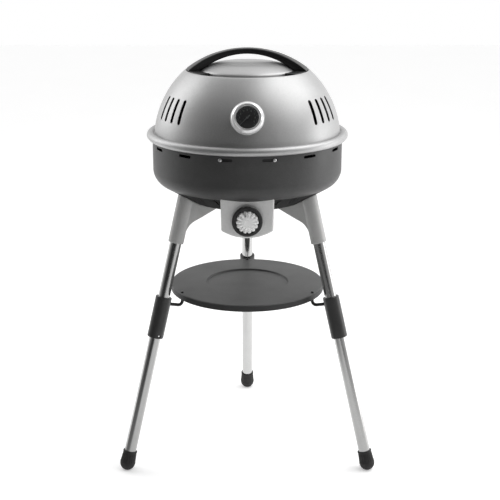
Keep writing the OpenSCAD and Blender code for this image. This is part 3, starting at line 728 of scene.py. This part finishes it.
def bowl_outline():
    """Closed section of the bowl: outer skin from the middle to the rim, then the inner skin."""
    t = BOWL_T
    p = [(0, CONE_Z - 27.0, -1), (12, CONE_Z - 24.6, 6), (135, CONE_Z, 9)]
    p += arc(*CURVE, CURVE_R, -60, 0, 16)
    p += [(BOWL_R, 807.2, 0.5), (BOWL_R - t, 807.2, 0.5)]
    p += arc(*CURVE, CURVE_R - t, 0, -60, 16)
    p += [(135 - 0.36 * t, CONE_Z + 1.02 * t, 8), (12, CONE_Z - 24.6 + 1.02 * t, 5),
          (0, CONE_Z - 27.0 + 1.02 * t, -1)]
    return p


def bowl_cutters():
    """The slots under the rim, the louvres in the cone, the drain and the venturi's hole."""
    flat = Matrix.Rotation(math.pi / 2, 4, "Y") @ Matrix.Rotation(math.pi / 2, 4, "Z")
    out = [prism("slot", stadium(35, 6.6), -12, 12, None,
                 at_front(360 / 14 * (i + 0.5)) @ Matrix.Translation((BOWL_R * MM, 0, RIM_HOLE_Z * MM)) @ flat)
           for i in range(14)]
    out += [prism("slot", stadium(38, 5), -30, 30, None,
                  at_front(s * a) @ Matrix.Translation((186 * MM, 0, 675 * MM)))
            for a in (22, 34, 46, *range(74, 159, 12)) for s in (-1, 1)]
    out.append(lathe("drain", plug(6, 600, 640), None, seg=32))
    slope = math.atan((680 - KNOB_Z) / (180 - 95))
    m = (AXIS @ Matrix.Translation((0, -180 * MM, KNOB_Z * MM)) @ Matrix.Rotation(slope - math.pi / 2, 4, "X"))
    out.append(lathe("venturi_hole", plug(13, 20, 50), None, seg=40, matrix=m))
    return out


def bowl_inside(at, normal):
    if at.z < CURVE[1] - 5:
        return normal.z > 0.3
    return normal.dot(Vector((at.x, at.y, 0)).normalized()) < -0.5


# the faces under the cone that get the painted shade
def underside_painted_shade(at, normal):
    return at.z < 686 and normal.z < -0.3


bowl_section = bowl_outline()
bowl = lathe("bowl_shell", bowl_section, M["bowl"], seg=192)
cut(bowl, bowl_cutters(), bowl_section)
# painted shade: the bowl's inner skin near-black
paint_faces(bowl, M["inside_painted_shade"], bowl_inside)
paint_faces(bowl, M["bowl_painted_shade"], underside_painted_shade)
put(bowl, "base", "dark_paint", "bowl")

# screws that hold the three plate supports, heads outside under the rim
head_section = [(0, 218.0, 0), (2.0, 218.0, 0.2), (2.0, 227.05, 0), (4.3, 227.05, 0.2), (4.3, 227.5, 0.3)] \
    + arc(0, 222.9, 6.3, 47, 76, 6) + [(1.4, 228.2, 0), (0, 228.2, 0)]
screws = []
for az in (0, 128.571, -128.571):
    for s in (-1, 1):
        m = (at_front(az + s * 15.6) @ Matrix.Translation((0, 0, RIM_HOLE_Z * MM))
             @ Matrix.Rotation(math.pi / 2, 4, "Y"))
        screws.append(lathe("support_screw", head_section, M["steel"], seg=40, matrix=m))
        nut = [(3.8 * math.cos(math.radians(60 * k)), 3.8 * math.sin(math.radians(60 * k))) for k in range(6)]
        screws.append(prism("support_nut", nut, 220.4, 223.6, M["steel"], m, 0.25))
bake(*screws)
put(join("support_screws_fine", screws), "base", "zinc_steel", "support_screws")

# ------------------------------------------------------------------ legs
TUBE_R, TUBE_BORE_R = 14.0, 12.5
SLEEVE_L = 98 / COS_T
sleeve_section = [(14.1, 3.5, 0.3), (15.6, 0, 0.8), (19.5, 0, 4.5),
                  (19.5, SLEEVE_L, 1.2), (14.1, SLEEVE_L, 0.6)]
BUTTON_Z = 335.5
HOOK_R, HOOK_LEG_Z, HOOK_BEND = 181.5, 410.5, 9.5
HOOK_AXIS_R = LEG_R - LEAN * HOOK_LEG_Z
HOOK_LEN = (HOOK_AXIS_R - HOOK_R - HOOK_BEND * (1 + SIN_T)) / COS_T
HOOK_BEND_Z = HOOK_LEG_Z - HOOK_LEN * SIN_T + HOOK_BEND * COS_T


def tube_section(rise):
    """Section of a leg tube that climbs by rise."""
    length = rise / COS_T
    return [(TUBE_BORE_R, 0, 0.3), (TUBE_R, 0, 0.3), (TUBE_R, length, 0.3), (TUBE_BORE_R, length, 0.3)]


def foot_mesh(name, a):
    """Tapered rubber boot with moulded ribs and a domed tip, flat where it stands."""
    top = 31 / COS_T
    rows = [(18.3 * math.cos(math.radians(t)), 18.3 * math.sin(math.radians(t)), 0.0)
            for t in np.linspace(-88, 0, 15)]
    rows += [(18.75, 0.9, 0.0), (18.75, 3.0, 0.0), (18.3, 4.0, 0.2), (18.2, 5.2, 1.0), (17.9, 9.0, 1.0),
             (17.5, 14.0, 1.0), (17.1, 19.0, 1.0), (16.75, 24.0, 1.0), (16.5, 27.2, 1.0), (16.5, 28.2, 0.2),
             (17.1, 29.2, 0.0), (17.1, top - 1.0, 0.0), (16.5, top, 0.0), (14.2, top, 0.0),
             (14.03, top - 0.6, 0.0), (14.03, top - 6, 0.0)]
    ribs, per = 18, 10
    n = ribs * per
    rings = []
    for r, z, depth in rows:
        ring = []
        for j in range(n):
            dip = max(0.0, 1 - abs((j % per) / per - 0.5) / 0.22)
            rr = r - 1.1 * depth * dip * dip * (3 - 2 * dip)
            w = 2 * math.pi * j / n
            ring.append((rr * math.cos(w), rr * math.sin(w), z))
        rings.append(ring)
    m = leg_matrix(a, 16)
    o = skin(name, rings, M["rubber"], m)
    bm = bmesh.new()
    bm.from_mesh(o.data)
    inv = m.inverted()
    ground, up = inv @ Vector((0, 0, 0.0002)), (inv.to_3x3() @ Vector((0, 0, 1))).normalized()
    res = bmesh.ops.bisect_plane(bm, geom=bm.verts[:] + bm.edges[:] + bm.faces[:], plane_co=ground, plane_no=up,
                                 clear_inner=True)
    rim = [e for e in res["geom_cut"] if isinstance(e, bmesh.types.BMEdge)]
    bmesh.ops.holes_fill(bm, edges=rim, sides=0)
    bmesh.ops.recalc_face_normals(bm, faces=bm.faces)
    bm.to_mesh(o.data)
    bm.free()
    smooth_by_angle(o, 42)
    return o


def shelf_hook(side, a):
    """Rod square to the leg, bent upright through an arc, with a pin for the shelf."""
    path = [(HOOK_AXIS_R - s * COS_T, 0, HOOK_LEG_Z - s * SIN_T) for s in (15.0, 22.0, 32.0, HOOK_LEN)]
    for k in range(1, 13):
        w = TILT - math.pi / 2 - (math.pi / 2 + TILT) * k / 12
        path.append((HOOK_R + HOOK_BEND * (1 + math.cos(w)), 0, HOOK_BEND_Z + HOOK_BEND * math.sin(w)))
    path += [(HOOK_R, 0, z) for z in (418, 426.6, 427.0)]
    radii = [4.0] * (len(path) - 1) + [3.7]
    rod = sweep(f"hook_rod_{side}", path, radii, M["gloss"], turned(a), sides=28)
    pin = lathe("hook_pin", [(0, 426, 0), (3.1, 426, 0), (3.1, 432.2, 1.6), (0, 432.2, 0)], M["gloss"], seg=32,
                matrix=turned(a) @ Matrix.Translation((HOOK_R * MM, 0, 0)))
    bake(rod, pin)
    return join(f"hook_{side}", [rod, pin])


def snap_button(side, m):
    """Round nose on a leaf spring inside the tube."""
    section = [(0, 9.4, 0), (5.0, 9.4, 0.2), (5.0, 10.6, 0.3),
               (2.95, 10.6, 0.2), (2.95, 17.7, 1.5), (0, 17.9, 0)]
    nose = lathe(f"button_nose_{side}", section, M["chrome"], seg=40, matrix=m)
    leaf = prism("button_leaf", [(-3, -36), (3, -36), (3, 4), (-3, 4)], 8.5, 9.35, M["chrome"], m, 0.3, 4)
    bake(nose, leaf)
    return join(f"button_{side}", [nose, leaf])


for side, a in LEGS.items():
    at_button = leg_matrix(a, BUTTON_Z) @ Matrix.Rotation(-math.pi / 2, 4, "X")
    up = lathe(f"tube_upper_{side}", tube_section(274), M["tube"], seg=72, matrix=leg_matrix(a, 380))
    put(up, "base", "tube_aluminium", f"upper_tube_{side}")
    down = lathe(f"tube_lower_{side}", tube_section(357.3), M["tube"], seg=72, matrix=leg_matrix(a, 22))
    cut(down, [lathe("hole", plug(3.05, 5, 25), None, seg=32, matrix=at_button)], tube_section(357.3))
    put(down, f"leg_{side}", "tube_aluminium", f"lower_tube_{side}")
    sleeve = lathe(f"sleeve_{side}", sleeve_section, M["sleeve"], seg=96, matrix=leg_matrix(a, 329))
    cut(sleeve, [lathe("hole", plug(3.5, 5, 25), None, seg=40, matrix=at_button)], sleeve_section)
    put(sleeve, "base", "black_plastic", f"leg_sleeve_{side}")
    put(shelf_hook(side, a), "base", "black_plastic", f"shelf_hook_{side}")
    put(foot_mesh(f"rubber_foot_{side}", a), f"leg_{side}", "rubber_foot", f"foot_{side}")
    put(snap_button(side, at_button), f"button_{side}", "chrome_trim", f"snap_button_{side}")
    bracket = soft_copy(f"bracket_{side}", f"leg_bracket_{side}", 1.1, 5, M["casting"])
    put(bracket, "base", "grey_casting", f"leg_bracket_{side}")

# ------------------------------------------------------------------ shelf
shelf_section = [(0, 423.5, 0), (100.6, 423.5, 1.2), (102.2, 427.5, 1.2), (187.5, 427.5, 1.5),
                 (187.5, 414, 0.5), (189, 414, 0.6), (189, 429, 3.2), (101.4, 429, 2.2),
                 (99.8, 425, 1.6), (0, 425, 0)]
shelf = lathe("shelf_tray", shelf_section, M["shelf"], seg=192)
holes = [lathe("hole", plug(3.5, 419, 439), None, seg=32,
               matrix=turned(a) @ Matrix.Translation((HOOK_R * MM, 0, 0))) for a in LEGS.values()]
cut(shelf, holes, shelf_section)
# painted shade on the shelf's lip
paint_faces(shelf, M["shelf_lip_painted_shade"], lambda at, normal: abs(normal.z) < 0.45 and math.hypot(at.x, at.y) > 185)
put(shelf, "shelf", "dark_paint", "shelf")

# ------------------------------------------------------------------ control panel
PANEL_FRONT, PANEL_EDGE = -203, 4.5     # the front face, and the radius round it
PANEL_X, PANEL_Z = 59.75, 614.0         # the lower corners
PANEL_ARC_Z, PANEL_ARC_R = 706.4, 110   # the circle that the lower edge follows


def panel_outline():
    """Points round the front face and the normal at each, both in X and Z."""
    start = math.atan2(PANEL_Z - PANEL_ARC_Z, PANEL_X)
    low = [(PANEL_X, PANEL_Z, 4.5)]
    for k in range(1, 16):
        w = start - (math.pi + 2 * start) * k / 16
        low.append((PANEL_ARC_R * math.cos(w), PANEL_ARC_Z + PANEL_ARC_R * math.sin(w), -1))
    low.append((-PANEL_X, PANEL_Z, 4.5))
    pts = []
    for p in rounded([(61.3, 705, 0)] + low + [(-61.3, 705, 0)]):
        if not pts or math.hypot(p[0] - pts[-1][0], p[1] - pts[-1][1]) > 0.02:
            pts.append((p[0], p[1]))
    normals = []
    for i in range(len(pts)):
        (x0, z0), (x1, z1) = pts[i - 1], pts[(i + 1) % len(pts)]
        d = Vector((x1 - x0, z1 - z0)).normalized()
        normals.append((-d.y, d.x))
    return pts, normals


def panel_mesh():
    """Sheet box with a rounded front edge, hollow behind, its top cut to the kettle."""
    pts, normals = panel_outline()

    def ring(inset, y):
        """The outline moved inwards by inset, except along the open top."""
        out = []
        for (x, z), (nx, nz) in zip(pts, normals):
            inward = -1 if nx * x + nz * (z - 660) > 0 else 1
            out.append((x + inward * nx * inset, y, z + inward * nz * inset if z < 704 else z))
        return out

    turns = [math.pi / 2 * k / 6 for k in range(7)]
    rings = [ring(PANEL_EDGE * (1 - math.sin(w)), PANEL_FRONT + PANEL_EDGE * (1 - math.cos(w))) for w in turns]
    outer = skin("panel_box", rings + [ring(0, -150)], M["panel"])
    inner = skin("panel_inside", [ring(2, -200.9), ring(2, -140)], None)
    kettle = lathe("kettle", [(0, 616.7, 0), (135, 643.7, 3)] + arc(*CURVE, CURVE_R + 0.06, -60, 0, 14)
                   + [(227.06, 760, 0), (0, 760, 0)], None, seg=192)
    hole = lathe("hole", plug(8.1, -30, 30), None, seg=48,
                 matrix=(AXIS @ Matrix.Translation((0, -200 * MM, KNOB_Z * MM))
                         @ Matrix.Rotation(math.pi / 2, 4, "X")))
    slot = prism("slot", [(-20, -200.9), (20, -200.9), (20, -137), (-20, -137)], 590, 606, None)
    for cutter in (inner, kettle, hole, slot):
        cut(outer, [cutter])
    smooth_by_angle(outer, 38)
    outer.modifiers.new("weighted", "WEIGHTED_NORMAL").keep_sharp = True
    apply_modifiers(outer)
    return outer


put(panel_mesh(), "base", "panel_grey", "control_panel")

# ------------------------------------------------------------------ knob
AT_KNOB = AXIS @ Matrix.Translation((0, 0, KNOB_Z * MM)) @ Matrix.Rotation(math.pi / 2, 4, "X")
skirt = lathe("knob_ring", [(25.5, 208, 0.3), (35, 208, 1.0), (35, 215, 2.6), (29.5, 215.2, 1.2),
                            (27.2, 213.8, 0.8), (25.5, 213.6, 0.3)], M["ring"], seg=128, matrix=AT_KNOB)
put(skirt, "knob", "black_plastic", "knob_skirt")


def knob_mesh():
    """Round grip: scooped flutes between raised lobes, one deep pointer notch, and a hollow back."""
    lobes, per = 14, 16
    n = lobes * per
    face_z, grip_r, pointer = 222.0, 25.3, math.radians(107)
    turns = [2 * math.pi * j / n for j in range(n)]

    def smooth(t):
        t = max(0.0, min(1.0, t))
        return t * t * (3 - 2 * t)

    def groove(w):
        return smooth(1 - abs((w / (2 * math.pi) * lobes) % 1.0 - 0.5) / 0.36)

    def notch(w, r):
        """Depth of the pointer's notch, from 0 to 1."""
        aside = abs((w - pointer + math.pi) % (2 * math.pi) - math.pi) * r
        half = 1.2 + 0.30 * max(0.0, r - 13)
        return max(0.0, min(1.0, half - aside)) if r > 13.5 else 0.0

    def face_ring(r):
        edge = min(1.0, max(0.0, (r - 21.6) / 3.7))
        fall = 2.6 * (1 - math.sqrt(1 - edge ** 2))
        ring = []
        for w in turns:
            z = face_z - fall - 3.4 * smooth((r - 11.5) / 9.0) * groove(w) - 7.0 * notch(w, r)
            rr = r - 2.2 * groove(w) * max(0.0, (r - 19) / 6.3)
            ring.append((rr * math.cos(w), rr * math.sin(w), z))
        return ring

    def wall_ring(z, depth):
        ring = []
        for w in turns:
            dip = notch(w, 25.0)
            rr = grip_r - 2.3 * groove(w) * depth - (2.6 * dip if z > 212 else 0)
            ring.append((rr * math.cos(w), rr * math.sin(w), min(z, face_z - 7.0 * dip) if z > 212.5 else z))
        return ring

    rows = [face_ring(r) for r in (*np.linspace(0.6, 12.0, 7), *np.linspace(13.0, 23.6, 18), 24.4, 24.9, 25.2)]
    rows += [wall_ring(z, depth) for z, depth in ((217.5, 1.0), (214.5, 1.0), (212.2, 0.9), (208.2, 0.9))]
    # a well round the spindle's hub, and the hub's bore
    rows += [[(r * math.cos(w), r * math.sin(w), z) for w in turns]
             for r, z in ((22.0, 208.2), (22.0, 213.0), (6.0, 213.0), (6.0, 211.7), (2.6, 211.7), (2.6, 218.2))]
    last = 1 + (len(rows) - 1) * n
    faces = [[0, 1 + j, 1 + (j + 1) % n] for j in range(n)]
    faces += [[a + j, a + n + j, a + n + (j + 1) % n, a + (j + 1) % n]
              for a in range(1, last, n) for j in range(n)]
    faces.append([last + j for j in range(n)])
    o = obj_from("knob_face", [(0, 0, face_z)] + [p for row in rows for p in row], faces, M["knob"], AT_KNOB)
    recalculate_normals(o)
    smooth_by_angle(o, 55)
    return o


put(knob_mesh(), "knob", "knob_silver", "knob_grip")

# ------------------------------------------------------------------ studio
FLOOR_FRONT, FLOOR_BACK, FLOOR_SIDE, FLOOR_Z = (AY - 3.2) / MM, 9000, 6000, -0.5


def smooth_range(tree, value, from_min, from_max, to_min=0.0, to_max=1.0):
    """Smooth step of a value between two limits."""
    r = tree.nodes.new("ShaderNodeMapRange")
    r.interpolation_type = "SMOOTHSTEP"
    for socket, limit in (("From Min", from_min), ("From Max", from_max),
                          ("To Min", to_min), ("To Max", to_max)):
        r.inputs[socket].default_value = limit
    tree.links.new(value, r.inputs["Value"])
    return r.outputs[0]


def math_node(tree, operation, *values):
    """Math on numbers and sockets."""
    m = tree.nodes.new("ShaderNodeMath")
    m.operation = operation
    for k, v in enumerate(values):
        if isinstance(v, (int, float)):
            m.inputs[k].default_value = v
        else:
            tree.links.new(v, m.inputs[k])
    return m.outputs[0]


def axes(tree, coordinates):
    """The X, Y and Z sockets of a texture coordinate."""
    place, split = tree.nodes.new("ShaderNodeTexCoord"), tree.nodes.new("ShaderNodeSeparateXYZ")
    tree.links.new(place.outputs[coordinates], split.inputs[0])
    return split.outputs[0], split.outputs[1], split.outputs[2]


def mix_shaders(tree, factor, first, second, out):
    both = tree.nodes.new("ShaderNodeMixShader")
    for k, v in enumerate((factor, first, second)):
        tree.links.new(v, both.inputs[k])
    tree.links.new(both.outputs[0], out)


floor = obj_from("floor", [(-FLOOR_SIDE, FLOOR_FRONT, FLOOR_Z), (FLOOR_SIDE, FLOOR_FRONT, FLOOR_Z),
                           (FLOOR_SIDE, FLOOR_BACK, FLOOR_Z), (-FLOOR_SIDE, FLOOR_BACK, FLOOR_Z)],
                 [[0, 1, 2, 3]], None, Matrix.Identity(4))
floor_look = material("floor_paper", (0.92, 0.92, 0.92), 0.0, 0.8, 0.05, 0.01, 1.5, specular=0.2)
ft = floor_look.node_tree
paper = ft.nodes["Principled BSDF"]
paper.inputs["Emission Color"].default_value = (1, 1, 1, 1)
paper.inputs["Emission Strength"].default_value = 0.35
# reflections see a darker floor in front of the grill and to its left: the dark streak of the tubes
X, Y, _ = axes(ft, "Object")
in_front = smooth_range(ft, Y, AY + 0.10, AY - 0.30, 0.0, 0.85)
to_left = smooth_range(ft, X, -0.15, -0.60, 0.38, 1.0)
glossy = ft.nodes.new("ShaderNodeLightPath").outputs["Is Glossy Ray"]
amount = math_node(ft, "MULTIPLY", math_node(ft, "MULTIPLY", in_front, to_left), glossy)
dim = ft.nodes.new("ShaderNodeBsdfDiffuse")
dim.inputs[0].default_value = (0.03, 0.03, 0.03, 1)
mix_shaders(ft, amount, paper.outputs[0], dim.outputs[0], ft.nodes["Material Output"].inputs[0])
floor.data.materials.append(floor_look)

world = bpy.data.worlds.new("studio")
scene.world = world
world.use_nodes = True
wt = world.node_tree
wt.nodes.clear()
w_out = wt.nodes.new("ShaderNodeOutputWorld")
# soft light from behind and above and from both sides; the camera sees plain white
X, Y, Z = axes(wt, "Generated")
back = smooth_range(wt, Y, -0.10, 0.45)
overhead = smooth_range(wt, Z, 0.40, 1.0)
right = smooth_range(wt, X, 0.10, 0.95)
left = smooth_range(wt, math_node(wt, "MULTIPLY", X, -1.0), 0.70, 1.0)
strength = 0.04
for part, weight in ((back, 0.85), (overhead, 0.38), (right, 0.50), (left, 0.22)):
    strength = math_node(wt, "MULTIPLY_ADD", part, weight, strength)
soft, white = wt.nodes.new("ShaderNodeBackground"), wt.nodes.new("ShaderNodeBackground")
for sky in (soft, white):
    sky.inputs[0].default_value = (1, 1, 1, 1)
    sky.inputs[1].default_value = 1.0
wt.links.new(strength, soft.inputs[1])
camera_ray = wt.nodes.new("ShaderNodeLightPath").outputs["Is Camera Ray"]
mix_shaders(wt, camera_ray, soft.outputs[0], white.outputs[0], w_out.inputs[0])


def softbox(name, location, target, size, power):
    d = bpy.data.lights.new(name, "AREA")
    d.shape = "RECTANGLE"
    d.size, d.size_y = size
    d.energy = power
    o = bpy.data.objects.new(name, d)
    scene.collection.objects.link(o)
    o.location = location
    o.rotation_euler = (Vector(target) - Vector(location)).to_track_quat("-Z", "Y").to_euler()


softbox("softbox_right", (1.65, AY - 0.05, 2.95), (0, AY, 0.85), (2.8, 2.4), 40)
softbox("softbox_side", (1.75, AY + 0.10, 0.62), (0, AY, 0.60), (0.9, 1.3), 6)
softbox("softbox_left", (-2.07, AY + 0.95, 1.85), (0, AY, 0.80), (1.8, 2.2), 18)

scene.view_settings.view_transform = "Standard"
scene.view_settings.look = "None"
scene.view_settings.exposure = 0
scene.view_settings.gamma = 1
